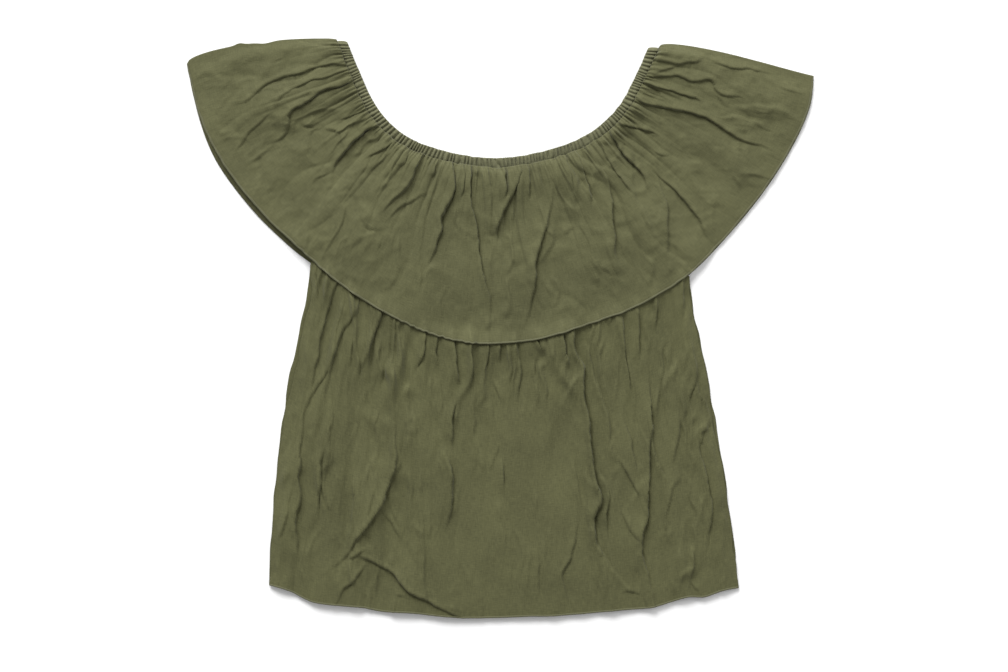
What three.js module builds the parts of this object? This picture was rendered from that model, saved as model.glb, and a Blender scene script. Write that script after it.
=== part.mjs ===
// Off-shoulder blouse laid flat with its front up, in millimetres.
// +X runs across the garment, +Y from the hem to the neckline, +Z up from the surface it lies on.
import * as THREE from 'three';

// Cloth and the gap left at every seam
const clothWall = 1.5;
const seamGap = 0.3;
const layerPitch = clothWall + seamGap;

// Elastic casing round the neckline: its front band lies on its back band
const casingWidth = 12.5;
const casingThickness = 4;
const casingCorner = 0.6;
const casingEdgeHeight = 2.2;
const casingCrownInset = 3;
const casingHalfGap = 0.15;
const casingFoldHeight = casingThickness + casingHalfGap;
const casingFoldSteps = 5;
const ribDepth = 0.9;
const frontRibs = 80;
const backRibs = 40;

// Most that the back folds and the folds hidden under the front flounce rise, and a flank's share
const backFoldRise = 1.2;
const hiddenFoldRise = 2.4;
const flankShare = 0.55;

// Share of the neckline where the bodice is sewn in between the two armholes
const bodyStart = 0.25;
const bodyEnd = 0.75;
const armholeBow = 18;
const armholeFade = 0.15;

// Underarm points as shares of the flounce hem, and how far under it they show
const underarmLeft = 0.265;
const underarmRight = 0.734;
const underarmBelow = 5;

// How far the two edges of the shoulder swell above a straight line, and where along it
const shoulderLeft = { swell: 12.3, rise: 0.8, fall: 0.45 };
const shoulderRight = { swell: 8.2, rise: 0.5, fall: 1.3 };
const shoulderFade = 0.08;

// At the shoulder tips the seam and the casing's outer side run on past the end of the neckline
const tipLift = 9.5;
const casingShear = 5.6;
const tipFade = 0.07;

// How far the side seams bow out, how far they draw in under the arms, and how far the front is
// rolled in from the back
const sideBowLeft = 8;
const sideBowRight = 3;
const drawnInLeft = { swell: 6, rise: 0.4, fall: 4 };
const drawnInRight = { swell: 6, rise: 0.4, fall: 4 };
const sideRoll = 3;
const sideFade = 0.12;

// The back flounce shows past the front one on the left, between these shares of the hem
const backPeek = { reach: 6, from: 0.04, full: 0.12, fade: 0.24, to: 0.3 };
const backPeekElsewhere = 1;

// Inner edge of the neckline, from the left shoulder tip to the right one
const neckRows = [
  { x: -181.8, y: 341 },
  { x: -166, y: 302 },
  { x: -147, y: 264 },
  { x: -120, y: 235 },
  { x: -80, y: 216 },
  { x: -6, y: 203.5 },
  { x: 67, y: 216 },
  { x: 109, y: 235 },
  { x: 141, y: 264 },
  { x: 162.3, y: 302 },
  { x: 176.5, y: 333 },
];

// Hem of the flounce, from the left shoulder fold to the right one
const flounceHemRows = [
  { x: -375.6, y: 316.8 },
  { x: -359, y: 252 },
  { x: -331.5, y: 197 },
  { x: -288, y: 140.6 },
  { x: -236.4, y: 91.5 },
  { x: -186, y: 49 },
  { x: -108.5, y: 3.6 },
  { x: -50, y: -15.6 },
  { x: 0, y: -19 },
  { x: 53, y: -12 },
  { x: 102, y: 3 },
  { x: 159.6, y: 24 },
  { x: 221.4, y: 60.6 },
  { x: 277.4, y: 116.8 },
  { x: 325.2, y: 177.6 },
  { x: 358.8, y: 235.2 },
  { x: 372.5, y: 272 },
  { x: 375.6, y: 302.4 },
];

// Bottom hem of the bodice, from the left side seam to the right one
const bodyHemRows = [
  { x: -277, y: -308 },
  { x: -254, y: -314.5 },
  { x: -226, y: -328 },
  { x: -190, y: -333 },
  { x: -166, y: -335 },
  { x: -140, y: -340 },
  { x: -109, y: -341.5 },
  { x: -72, y: -345.5 },
  { x: -43, y: -347.5 },
  { x: 1, y: -347 },
  { x: 38, y: -345.5 },
  { x: 56, y: -345.5 },
  { x: 86, y: -343.5 },
  { x: 148, y: -338 },
  { x: 182, y: -335 },
  { x: 206, y: -328 },
  { x: 226, y: -322.5 },
  { x: 245, y: -322.5 },
  { x: 269, y: -314.5 },
  { x: 287, y: -311.6 },
];

// Gathers of the front flounce: shares of the casing and the hem that the crest runs between,
// its height, how far down it reaches and how far it leans to one side
const flounceGathers = [
  { casing: 0.02, hem: 0.028, rise: 3.0, reach: 1.3, lean: 0.2 },
  { casing: 0.04, hem: 0.09, rise: 4.5, reach: 1.2, lean: 0.4 },
  { casing: 0.065, hem: 0.128, rise: 6.0, reach: 1.1, lean: 0.5 },
  { casing: 0.11, hem: 0.17, rise: 4.0, reach: 0.8, lean: -0.3 },
  { casing: 0.165, hem: 0.215, rise: 6.0, reach: 0.9, lean: 0.4 },
  { casing: 0.222, hem: 0.26, rise: 3.5, reach: 0.6, lean: 0.2 },
  { casing: 0.288, hem: 0.305, rise: 4.5, reach: 0.8, lean: -0.4 },
  { casing: 0.344, hem: 0.35, rise: 4.0, reach: 1.0, lean: 0.2 },
  { casing: 0.383, hem: 0.395, rise: 4.5, reach: 1.3, lean: 0.3 },
  { casing: 0.413, hem: 0.43, rise: 5.0, reach: 0.8, lean: -0.3 },
  { casing: 0.438, hem: 0.465, rise: 4.5, reach: 1.2, lean: 0.4 },
  { casing: 0.479, hem: 0.5, rise: 5.5, reach: 1.1, lean: -0.4 },
  { casing: 0.51, hem: 0.525, rise: 3.0, reach: 0.4, lean: 0 },
  { casing: 0.534, hem: 0.548, rise: 5.0, reach: 0.9, lean: 0.3 },
  { casing: 0.562, hem: 0.572, rise: 3.5, reach: 0.5, lean: 0 },
  { casing: 0.598, hem: 0.598, rise: 6.0, reach: 1.2, lean: -0.4 },
  { casing: 0.629, hem: 0.625, rise: 4.0, reach: 0.7, lean: 0 },
  { casing: 0.652, hem: 0.65, rise: 4.0, reach: 0.6, lean: 0.3 },
  { casing: 0.676, hem: 0.675, rise: 4.5, reach: 0.7, lean: -0.2 },
  { casing: 0.704, hem: 0.7, rise: 6.0, reach: 1.2, lean: 0.4 },
  { casing: 0.734, hem: 0.738, rise: 4.0, reach: 0.8, lean: 0 },
  { casing: 0.765, hem: 0.77, rise: 6.0, reach: 1.3, lean: -0.4 },
  { casing: 0.8, hem: 0.8, rise: 5.0, reach: 1.0, lean: 0.3 },
  { casing: 0.85, hem: 0.86, rise: 4.0, reach: 0.8, lean: -0.2 },
  { casing: 0.9, hem: 0.905, rise: 6.0, reach: 1.1, lean: 0.4 },
  { casing: 0.933, hem: 0.935, rise: 4.5, reach: 0.7, lean: 0.2 },
  { casing: 0.97, hem: 0.975, rise: 3.5, reach: 1.2, lean: -0.2 },
];

// Folds of the bodice front: shares across the panel where the crest passes under the flounce
// hem and where it ends at the bottom hem, its height, what of it is left there and its lean
const bodyFolds = [
  { line: 0.045, hem: 0.045, rise: 3.5, left: 0.6, lean: -0.3 },
  { line: 0.1, hem: 0.088, rise: 5.5, left: 0.7, lean: 0.3 },
  { line: 0.166, hem: 0.128, rise: 4.5, left: 0.6, lean: 0 },
  { line: 0.252, hem: 0.17, rise: 8.0, left: 0.5, lean: 0.6 },
  { line: 0.316, hem: 0.255, rise: 4.5, left: 0.8, lean: 0.2 },
  { line: 0.375, hem: 0.325, rise: 4.0, left: 0.6, lean: -0.3 },
  { line: 0.428, hem: 0.38, rise: 6.0, left: 0.7, lean: 0.4 },
  { line: 0.482, hem: 0.44, rise: 4.5, left: 0.4, lean: 0 },
  { line: 0.545, hem: 0.5, rise: 3.5, left: 0.5, lean: 0.2 },
  { line: 0.598, hem: 0.56, rise: 4.5, left: 0.6, lean: -0.3 },
  { line: 0.66, hem: 0.635, rise: 8.0, left: 0.6, lean: 0.5 },
  { line: 0.725, hem: 0.705, rise: 4.5, left: 0.7, lean: -0.4 },
  { line: 0.78, hem: 0.76, rise: 5.5, left: 0.5, lean: 0.2 },
  { line: 0.83, hem: 0.812, rise: 6.0, left: 0.7, lean: 0.4 },
  { line: 0.878, hem: 0.862, rise: 5.0, left: 0.6, lean: -0.2 },
  { line: 0.922, hem: 0.912, rise: 4.5, left: 0.7, lean: 0.3 },
  { line: 0.965, hem: 0.962, rise: 3.0, left: 0.8, lean: 0 },
];

// Gathers of the back flounce, pressed shallow by what lies on them
const backGathers = [
  { casing: 0.045, hem: 0.05, rise: 1.0, reach: 1.3 },
  { casing: 0.12, hem: 0.11, rise: 1.2, reach: 0.8 },
  { casing: 0.19, hem: 0.205, rise: 0.9, reach: 1.3 },
  { casing: 0.26, hem: 0.25, rise: 1.2, reach: 0.6 },
  { casing: 0.33, hem: 0.345, rise: 1.0, reach: 1.3 },
  { casing: 0.4, hem: 0.39, rise: 0.8, reach: 0.9 },
  { casing: 0.465, hem: 0.475, rise: 1.2, reach: 1.3 },
  { casing: 0.535, hem: 0.53, rise: 0.9, reach: 0.7 },
  { casing: 0.6, hem: 0.62, rise: 1.2, reach: 1.3 },
  { casing: 0.665, hem: 0.665, rise: 0.8, reach: 0.6 },
  { casing: 0.735, hem: 0.75, rise: 1.1, reach: 1.3 },
  { casing: 0.81, hem: 0.8, rise: 1.2, reach: 0.9 },
  { casing: 0.88, hem: 0.89, rise: 0.9, reach: 1.3 },
  { casing: 0.95, hem: 0.945, rise: 1.1, reach: 0.8 },
];

// Folds of the bodice back below the flounce
const backFolds = [
  { line: 0.07, hem: 0.06, rise: 1.1, left: 0.8 },
  { line: 0.15, hem: 0.13, rise: 0.9, left: 1.0 },
  { line: 0.23, hem: 0.22, rise: 1.2, left: 0.6 },
  { line: 0.31, hem: 0.3, rise: 0.8, left: 1.0 },
  { line: 0.39, hem: 0.37, rise: 1.2, left: 0.7 },
  { line: 0.46, hem: 0.455, rise: 0.9, left: 1.0 },
  { line: 0.54, hem: 0.55, rise: 1.1, left: 0.5 },
  { line: 0.62, hem: 0.63, rise: 1.2, left: 1.0 },
  { line: 0.7, hem: 0.69, rise: 0.8, left: 0.7 },
  { line: 0.78, hem: 0.79, rise: 1.2, left: 1.0 },
  { line: 0.86, hem: 0.87, rise: 1.0, left: 0.6 },
  { line: 0.94, hem: 0.945, rise: 1.1, left: 0.9 },
];
const backFoldHalf = 0.018;

// How strongly a lean moves a fold's flanks, and the height of a gather where it leaves the casing
const leanStrength = 0.6;
const gatherAtCasing = 0.25;

// Stretches, as shares down or across a panel, over which one form passes into the next
const gatherGrows = [0, 0.3];
const backGatherGrows = [0, 0.2];
const hiddenFoldGrows = [0.05, 0.3];
const stackGrows = [0, 0.12];
const flounceDrops = [1.015, 1.05];
const freeFoldGrows = [1.015, 1.15];
const backFoldGrows = [1.05, 1.3];
const foldSettles = [1.5, 2];
const wingToBody = [0.14, 0.23];
const edgeRoll = [0, 0.03];
const gatherEndsBefore = 0.35;
const gatherEndsAfter = 0.1;

// Points that a line is measured by, and that the underarm line is drawn from
const lineSamples = 300;
const underarmSteps = 16;

// Rows of points down each panel: 0 is the casing, and on the bodice 1 is the flounce hem and 2 the hem
const flounceRowStops = [0, 0.1, 0.25, 0.42, 0.6, 0.78, 0.92, 1];
const bodyRowStops = [0, 0.12, 0.3, 0.6, 1, 1.015, 1.05, 1.15, 1.28, 1.42, 1.57, 1.72, 1.87, 2];
const backFlounceRowStops = [0, 0.15, 0.4, 0.7, 1];
const backBodyRowStops = [0, 0.15, 0.5, 1, 1.015, 1.05, 1.3, 1.6, 2];

const { lerp, clamp } = THREE.MathUtils;

// Smooth step that is 0 before a stretch and 1 after it
function ease([from, to], value) {
  return THREE.MathUtils.smoothstep(value, from, to);
}

// Smooth line through the rows of a table
function traced(rows) {
  const points = rows.map((row) => new THREE.Vector3(row.x, row.y, 0));
  const line = new THREE.CatmullRomCurve3(points, false, 'centripetal');
  line.arcLengthDivisions = 2 * lineSamples;
  return line;
}

const neckLine = traced(neckRows);
const flounceHem = traced(flounceHemRows);
const bodyHem = traced(bodyHemRows);

// Direction in the plane that points away from the neck opening, square to a line's own direction
function outwardOf(line, share) {
  const along = line.getTangentAt(share);
  return new THREE.Vector3(along.y, -along.x, 0);
}

// Point at a share of a line's length, moved outwards
function besideLine(line, share, distance) {
  return line.getPointAt(share).addScaledVector(outwardOf(line, share), distance);
}

// Point where a line from left to right passes a share of its own width
function acrossLine(line, share) {
  const samples = acrossLine.kept.get(line) ?? line.getSpacedPoints(lineSamples);
  acrossLine.kept.set(line, samples);
  const first = samples[0];
  const last = samples[samples.length - 1];
  const x = lerp(first.x, last.x, share);
  const next = clamp(samples.findIndex((point) => point.x >= x), 1, samples.length - 1);
  const before = samples[next - 1];
  const after = samples[next];
  return before.clone().lerp(after, clamp((x - before.x) / (after.x - before.x), 0, 1));
}
acrossLine.kept = new Map();

// -1 at the left shoulder tip and 1 at the right one, fading to 0 along the neckline
function tipShare(share) {
  return ease([0, tipFade], share) - ease([0, tipFade], 1 - share);
}

// Seam where the flounce and the bodice meet the casing
function seamPoint(share) {
  const point = besideLine(neckLine, share, casingWidth + seamGap);
  return point.addScaledVector(neckLine.getTangentAt(share), tipLift * tipShare(share));
}

// Swell of an edge beside its straight line, at a place down the panel
function swellOf(edge, down) {
  const peak = edge.rise / (edge.rise + edge.fall);
  const shape = (at) => at ** edge.rise * (1 - at) ** edge.fall;
  return (edge.swell * shape(down)) / shape(peak);
}

// Plan of the flounce: straight rays from the casing seam to a hem line, swollen at the shoulders
function flouncePlan(share, down, hemReach) {
  const point = seamPoint(share).lerp(besideLine(flounceHem, share, hemReach), down);
  const nearLeft = 1 - ease([0, shoulderFade], share);
  const nearRight = 1 - ease([0, shoulderFade], 1 - share);
  point.y += nearLeft * swellOf(shoulderLeft, down);
  point.y += nearRight * swellOf(shoulderRight, down);
  return point;
}

// Line a little under the flounce hem, from one underarm point to the other
const underarmLine = traced(
  Array.from({ length: underarmSteps + 1 }, (_, step) => {
    const share = lerp(underarmLeft, underarmRight, step / underarmSteps);
    return besideLine(flounceHem, share, underarmBelow);
  }),
);

// Plan of a bodice panel: the yoke with its armholes down to 1, then the skirt with its side seams to 2
function bodyPlan(share, down, rollIn) {
  const line = acrossLine(underarmLine, share);
  if (down <= 1) {
    const bow = armholeBow * 4 * down * (1 - down);
    const point = seamPoint(lerp(bodyStart, bodyEnd, share)).lerp(line, down);
    point.x += bow * (1 - ease([0, armholeFade], share));
    point.x -= bow * (1 - ease([0, armholeFade], 1 - share));
    return point;
  }
  const fall = down - 1;
  const bow = 4 * fall * (1 - fall);
  const rolled = rollIn * bow;
  const point = line.clone().lerp(acrossLine(bodyHem, share), fall);
  const outLeft = sideBowLeft * bow - rolled - swellOf(drawnInLeft, fall);
  const outRight = sideBowRight * bow - rolled - swellOf(drawnInRight, fall);
  point.x -= outLeft * (1 - ease([0, sideFade], share));
  point.x += outRight * (1 - ease([0, sideFade], 1 - share));
  return point;
}

// Columns of points for a row of folds: a valley, then the two flanks and the crest of each fold.
// Each fold says where its crest is and how high it stands at a place down the panel.
function foldColumns(folds) {
  const columns = [{ share: () => 0, lift: () => 0 }];
  folds.forEach((fold, index) => {
    const before = folds[index - 1];
    const after = folds[index + 1];
    const valleyBefore = (down) => (before ? (before.crest(down) + fold.crest(down)) / 2 : 0);
    const valleyAfter = (down) => (after ? (after.crest(down) + fold.crest(down)) / 2 : 1);
    const nearer = (1 + leanStrength * fold.lean) / 2;
    columns.push({
      share: (down) => lerp(fold.crest(down), valleyBefore(down), nearer),
      lift: (down) => flankShare * fold.height(down),
    });
    columns.push({ share: fold.crest, lift: fold.height });
    columns.push({
      share: (down) => lerp(fold.crest(down), valleyAfter(down), 1 - nearer),
      lift: (down) => flankShare * fold.height(down),
    });
    columns.push({ share: valleyAfter, lift: () => 0 });
  });
  return columns;
}

// Columns for a row of narrow folds, with flat cloth left between them for the panel to rest on
function pressedColumns(folds) {
  const profile = [
    { aside: -1, part: 0 },
    { aside: -0.5, part: flankShare },
    { aside: 0, part: 1 },
    { aside: 0.5, part: flankShare },
    { aside: 1, part: 0 },
  ];
  const columns = folds.flatMap((fold) => profile.map(({ aside, part }) => ({
    share: (down) => fold.crest(down) + aside * backFoldHalf,
    lift: (down) => part * fold.height(down),
  })));
  const edge = (at) => ({ share: () => at, lift: () => 0 });
  return [edge(0), ...columns, edge(1)];
}

// Height left of a gather at a place down the flounce, where it has a given reach
function leftOfGather(reach, down) {
  return 1 - ease([reach - gatherEndsBefore, reach + gatherEndsAfter], down);
}

// Closed body from a list of points and the triangles between them, with its faces turned outwards
function closedBody(name, points, triangles, material) {
  const corner = (index) => points[index];
  const volume = triangles.reduce((sum, [a, b, c]) => {
    return sum + corner(a).dot(corner(b).clone().cross(corner(c))) / 6;
  }, 0);
  const turned = volume < 0 ? triangles.map(([a, b, c]) => [a, c, b]) : triangles;
  const geometry = new THREE.BufferGeometry();
  geometry.setFromPoints(points);
  geometry.setIndex(turned.flat());
  geometry.computeVertexNormals();
  const mesh = new THREE.Mesh(geometry, material);
  mesh.name = name;
  return mesh;
}

// Two triangles across the gap between two neighbouring strips of points
function panel(a, b, c, d) {
  return [[a, b, c], [a, c, d]];
}

// Cloth wall over a grid of columns and rows. The outer skin carries the folds, and the inner one
// lies under it, a cloth's thickness away square to the slope of the cloth.
function clothWallMesh(name, columns, rowStops, plan, base, material) {
  const wide = columns.length;
  const deep = rowStops.length;
  const outer = columns.map((column) => rowStops.map((down) => {
    const share = column.share(down);
    const point = plan(share, down);
    point.z = base(share, down) + clothWall + column.lift(down);
    return point;
  }));
  const slopeAt = (i, j) => {
    const left = outer[Math.max(i - 1, 0)][j];
    const right = outer[Math.min(i + 1, wide - 1)][j];
    const run = Math.hypot(right.x - left.x, right.y - left.y);
    return clamp((right.z - left.z) / run, -1, 1);
  };
  const inner = outer.map((column, i) => column.map((point, j) => {
    const depth = clothWall * Math.hypot(1, slopeAt(i, j));
    const lowest = base(columns[i].share(rowStops[j]), rowStops[j]);
    return new THREE.Vector3(point.x, point.y, Math.max(point.z - depth, lowest));
  }));
  const points = [...outer.flat(), ...inner.flat()];
  const top = (i, j) => i * deep + j;
  const under = (i, j) => wide * deep + i * deep + j;
  const triangles = [];
  for (let i = 0; i < wide - 1; i += 1) {
    for (let j = 0; j < deep - 1; j += 1) {
      triangles.push(...panel(top(i, j), top(i, j + 1), top(i + 1, j + 1), top(i + 1, j)));
      triangles.push(...panel(under(i, j), under(i + 1, j), under(i + 1, j + 1), under(i, j + 1)));
    }
    triangles.push(...panel(top(i, 0), top(i + 1, 0), under(i + 1, 0), under(i, 0)));
    const last = deep - 1;
    triangles.push(...panel(top(i + 1, last), top(i, last), under(i, last), under(i + 1, last)));
  }
  for (let j = 0; j < deep - 1; j += 1) {
    const last = wide - 1;
    triangles.push(...panel(top(0, j + 1), top(0, j), under(0, j), under(0, j + 1)));
    triangles.push(...panel(top(last, j), top(last, j + 1), under(last, j + 1), under(last, j)));
  }
  return closedBody(name, points, triangles, material);
}

// Height left for the folds of the layers below, taken up just past the casing
function stackRamp(down) {
  return ease(stackGrows, down);
}

// 1 over the bodice and 0 over the two shoulder wings
function overBody(share) {
  return ease(wingToBody, share) * ease(wingToBody, 1 - share);
}

// 0 on the two side edges of a panel and 1 past them
function awayFromEdge(share) {
  return ease(edgeRoll, share) * ease(edgeRoll, 1 - share);
}

// 0 where a bodice panel lies over the flounce layer, 1 once it has dropped past the flounce hem
function pastFlounce(down) {
  return ease(flounceDrops, down);
}

const clothColour = { color: '#63634a', roughness: 0.85, metalness: 0 };
const casingColour = { color: '#676850', roughness: 0.88, metalness: 0 };

// Front flounce: over the bodice it lies on three layers, over the wings on the back flounce alone
function makeFlounceFront() {
  const folds = flounceGathers.map((gather) => ({
    crest: (down) => lerp(gather.casing, gather.hem, down),
    height: (down) => {
      const gathered = lerp(gatherAtCasing, 1, ease(gatherGrows, down));
      return gather.rise * gathered * leftOfGather(gather.reach, down);
    },
    lean: gather.lean,
  }));
  const base = (share, down) => {
    const wing = layerPitch + backFoldRise * stackRamp(down) * awayFromEdge(share);
    const stack = 3 * layerPitch + (backFoldRise + hiddenFoldRise) * stackRamp(down);
    return lerp(wing, stack, Math.max(overBody(share), 1 - stackRamp(down)));
  };
  const plan = (share, down) => flouncePlan(share, down, 0);
  return clothWallMesh('flounce_front', foldColumns(folds), flounceRowStops, plan, base,
    new THREE.MeshStandardMaterial(clothColour));
}

// Back flounce: lies flat on the surface and shows past the front one on the left
function makeFlounceBack() {
  const peek = (share) => {
    const begun = ease([backPeek.from, backPeek.full], share);
    const ended = ease([backPeek.fade, backPeek.to], share);
    return lerp(backPeekElsewhere, backPeek.reach, begun * (1 - ended));
  };
  const folds = backGathers.map((gather) => ({
    crest: (down) => lerp(gather.casing, gather.hem, down),
    height: (down) => gather.rise * ease(backGatherGrows, down) * leftOfGather(gather.reach, down),
  }));
  const plan = (share, down) => flouncePlan(share, down, peek(share) * awayFromEdge(share));
  return clothWallMesh('flounce_back', pressedColumns(folds), backFlounceRowStops, plan, () => 0,
    new THREE.MeshStandardMaterial(clothColour));
}

// Bodice back: over the back flounce down to its hem, then flat on the surface
function makeBodyBack() {
  const base = (share, down) => {
    const overFlounce = layerPitch + backFoldRise * stackRamp(down);
    return overFlounce * (1 - pastFlounce(down));
  };
  const folds = backFolds.map((fold) => ({
    crest: (down) => lerp(fold.line, fold.hem, clamp(down - 1, 0, 1)),
    height: (down) => fold.rise * ease(backFoldGrows, down) * lerp(1, fold.left, ease(foldSettles, down)),
  }));
  const plan = (share, down) => bodyPlan(share, down, 0);
  return clothWallMesh('body_back', pressedColumns(folds), backBodyRowStops, plan, base,
    new THREE.MeshStandardMaterial(clothColour));
}

// Bodice front: gathered into the casing, pressed down under the flounce and free below it
function makeBodyFront() {
  const tallest = Math.max(...bodyFolds.map((fold) => fold.rise));
  const folds = bodyFolds.map((fold, index) => ({
    crest: (down) => {
      const atCasing = (index + 0.5) / bodyFolds.length;
      return down <= 1 ? lerp(atCasing, fold.line, down) : lerp(fold.line, fold.hem, down - 1);
    },
    height: (down) => {
      const pressed = hiddenFoldRise * (fold.rise / tallest) * ease(hiddenFoldGrows, down);
      const free = fold.rise * lerp(1, fold.left, ease(foldSettles, down));
      return lerp(pressed, free, ease(freeFoldGrows, down));
    },
    lean: fold.lean,
  }));
  const base = (share, down) => {
    const stacked = 2 * layerPitch + backFoldRise * stackRamp(down);
    const free = layerPitch + backFoldRise * awayFromEdge(share);
    return lerp(stacked, free, pastFlounce(down));
  };
  const plan = (share, down) => bodyPlan(share, down, sideRoll);
  return clothWallMesh('body_front', foldColumns(folds), bodyRowStops, plan, base,
    new THREE.MeshStandardMaterial(clothColour));
}

// Cross-section of the casing band: distance outwards from the neck edge, and height over its inner face
function casingSection(groove) {
  const crown = casingThickness - groove * ribDepth;
  return [
    { out: casingCorner, height: 0 },
    { out: casingWidth - casingCorner, height: 0 },
    { out: casingWidth, height: casingEdgeHeight },
    { out: casingWidth - casingCrownInset, height: crown },
    { out: casingCrownInset, height: crown },
    { out: 0, height: casingEdgeHeight },
  ];
}

// Casing: one ring whose front band folds over at each shoulder tip and comes back as the back band.
// A section stands square to the neck edge and turns about it by half a circle at each tip.
function makeCasing() {
  const stations = [];
  for (let step = 0; step <= 2 * frontRibs; step += 1) {
    stations.push({ share: step / (2 * frontRibs), turn: 0, end: 1 });
  }
  for (let step = 1; step < casingFoldSteps; step += 1) {
    stations.push({ share: 1, turn: (Math.PI * step) / casingFoldSteps, end: 1 });
  }
  for (let step = 0; step <= 2 * backRibs; step += 1) {
    stations.push({ share: 1 - step / (2 * backRibs), turn: Math.PI, end: 1 });
  }
  for (let step = 1; step < casingFoldSteps; step += 1) {
    stations.push({ share: 0, turn: Math.PI * (1 - step / casingFoldSteps), end: -1 });
  }
  const points = stations.flatMap(({ share, turn, end }, index) => {
    const along = neckLine.getTangentAt(share);
    return casingSection(index % 2).map(({ out, height }) => {
      const radius = casingHalfGap + height;
      const shear = (casingShear * tipShare(share) * out) / casingWidth;
      const point = besideLine(neckLine, share, out);
      point.addScaledVector(along, end * radius * Math.sin(turn) + shear);
      point.z = casingFoldHeight + radius * Math.cos(turn);
      return point;
    });
  });
  const round = casingSection(0).length;
  const triangles = stations.flatMap((_, index) => {
    const here = index * round;
    const next = ((index + 1) % stations.length) * round;
    return Array.from({ length: round }, (_unused, k) => {
      const after = (k + 1) % round;
      return panel(here + k, here + after, next + after, next + k);
    }).flat();
  });
  return closedBody('neck_casing', points, triangles, new THREE.MeshStandardMaterial(casingColour));
}

const blouse = new THREE.Group();
blouse.add(makeFlounceFront(), makeFlounceBack(), makeBodyFront(), makeBodyBack(), makeCasing());

// The origin is the middle of the garment's outline, on the surface that it lies on
const outline = new THREE.Box3().setFromObject(blouse);
const middle = outline.getCenter(new THREE.Vector3());
blouse.position.set(-middle.x, -middle.y, -outline.min.z);

export default blouse;
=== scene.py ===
import math

import bpy
import numpy as np
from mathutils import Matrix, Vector


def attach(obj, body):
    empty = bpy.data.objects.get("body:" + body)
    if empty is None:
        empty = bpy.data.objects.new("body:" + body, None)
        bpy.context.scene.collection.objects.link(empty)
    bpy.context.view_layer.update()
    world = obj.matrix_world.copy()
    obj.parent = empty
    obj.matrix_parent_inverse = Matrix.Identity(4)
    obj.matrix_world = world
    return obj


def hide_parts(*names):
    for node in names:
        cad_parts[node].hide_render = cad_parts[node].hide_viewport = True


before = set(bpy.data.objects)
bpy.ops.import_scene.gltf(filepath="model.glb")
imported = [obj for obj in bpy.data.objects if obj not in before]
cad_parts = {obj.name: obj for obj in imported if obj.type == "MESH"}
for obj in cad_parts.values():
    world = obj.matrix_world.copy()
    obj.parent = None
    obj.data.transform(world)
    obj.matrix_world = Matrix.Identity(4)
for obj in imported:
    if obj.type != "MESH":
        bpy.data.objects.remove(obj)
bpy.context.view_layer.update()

# Off-shoulder blouse laid flat, front up. Tables and shapes are in millimetres in the garment's own
# drawing, +X across, +Y towards the neckline, +Z up; CENTRE_Y moves the drawing to the part's origin.
MM = 0.001
CENTRE_Y = 0.593

# Thickness of a shell, and the room between two layers
CLOTH, CLEAR = 0.7, 0.25

# A panel lies WALL above its base, and each panel below it adds a LAYER. The folds of the back panels
# and of the bodice under the flounce take up BACK_FOLD and HIDDEN_FOLD.
WALL, LAYER, BACK_FOLD, HIDDEN_FOLD = 1.5, 1.8, 1.2, 2.4

CASING_WIDTH, CASING_THICKNESS, CASING_HALF_GAP, SEAM_GAP = 12.5, 4.0, 0.15, 0.3

# The light comes from the top left of the garment, so a fold stands on that side of its dark crease
LIT_FROM = np.array([-0.32, 0.95])

# Lines read from the picture, left to right: the inner edge of the casing, and the two hems
NECK = [(-181.8, 341), (-166, 302), (-147, 264), (-120, 235), (-80, 216), (-6, 203.5), (67, 216),
        (109, 235), (141, 264), (162.3, 302), (176.5, 333)]
FLOUNCE_HEM = [(-375.6, 316.8), (-359, 252), (-331.5, 197), (-288, 140.6), (-236.4, 91.5), (-186, 49),
               (-108.5, 3.6), (-50, -15.6), (0, -19), (53, -12), (102, 3), (159.6, 24), (221.4, 60.6),
               (277.4, 116.8), (325.2, 177.6), (358.8, 235.2), (372.5, 272), (375.6, 302.4)]
BODY_HEM = [(-277, -308), (-254, -314.5), (-226, -328), (-190, -333), (-166, -335), (-140, -340),
            (-109, -341.5), (-72, -345.5), (-43, -347.5), (1, -347), (38, -345.5), (56, -345.5),
            (86, -343.5), (148, -338), (182, -335), (206, -328), (226, -322.5), (245, -322.5),
            (269, -314.5), (287, -311.6)]

# Where the bodice joins the casing and where the underarms are, as shares of the neck and flounce hem,
# then how far in mm its armholes curve in, its sides bow out and its waist goes in, and where
BODY_START, BODY_END = 0.25, 0.75
UNDERARM_LEFT, UNDERARM_RIGHT, UNDERARM_BELOW = 0.265, 0.733, 5.0
ARMHOLE_BOW, ARMHOLE_FADE = 18.0, 0.15
SIDE_BOW_LEFT, SIDE_BOW_RIGHT = 8.0, 3.0
WAIST_IN_LEFT, WAIST_IN_RIGHT, WAIST_AT, WAIST_ABOVE, WAIST_BELOW = 6.0, 6.0, 1.09, 0.12, 0.26

# At the shoulder tips the seam and the casing's outer side run on past the end of the neck line
TIP_LIFT, CASING_SHEAR, TIP_FADE = 9.5, 5.6, 0.07

# The flounce's two ends swell past straight lines: height in mm, rise and fall, as swell() takes them.
# The left one also has two bumps: height in mm, place and width as shares of the way down.
LEFT_END, RIGHT_END, END_FADE = (12.3, 0.8, 0.45), (8.2, 0.5, 1.3), 0.08
LEFT_BUMPS = [(2.2, 0.65, 0.035), (-2.2, 0.48, 0.06)]

# Lengths in mm that turn shares into distances, for the noise: of the flounce from its seam to its
# hem, and of the bodice
SEAM_RUN, BACK_RUN, MID_RUN, WIDE_RUN, HEM_RUN, FLOUNCE_DROP = 560, 700, 760, 800, 1180, 214
BODY_RUN, BODY_FINE_RUN, BODY_DROP = 560, 540, 390

# Pitch in mm and depth of the casing's ribs, at the shoulders and at the front
RIB_PITCH, RIB_DEPTH = (3.0, 4.9), (0.5, 2.9)

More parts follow.
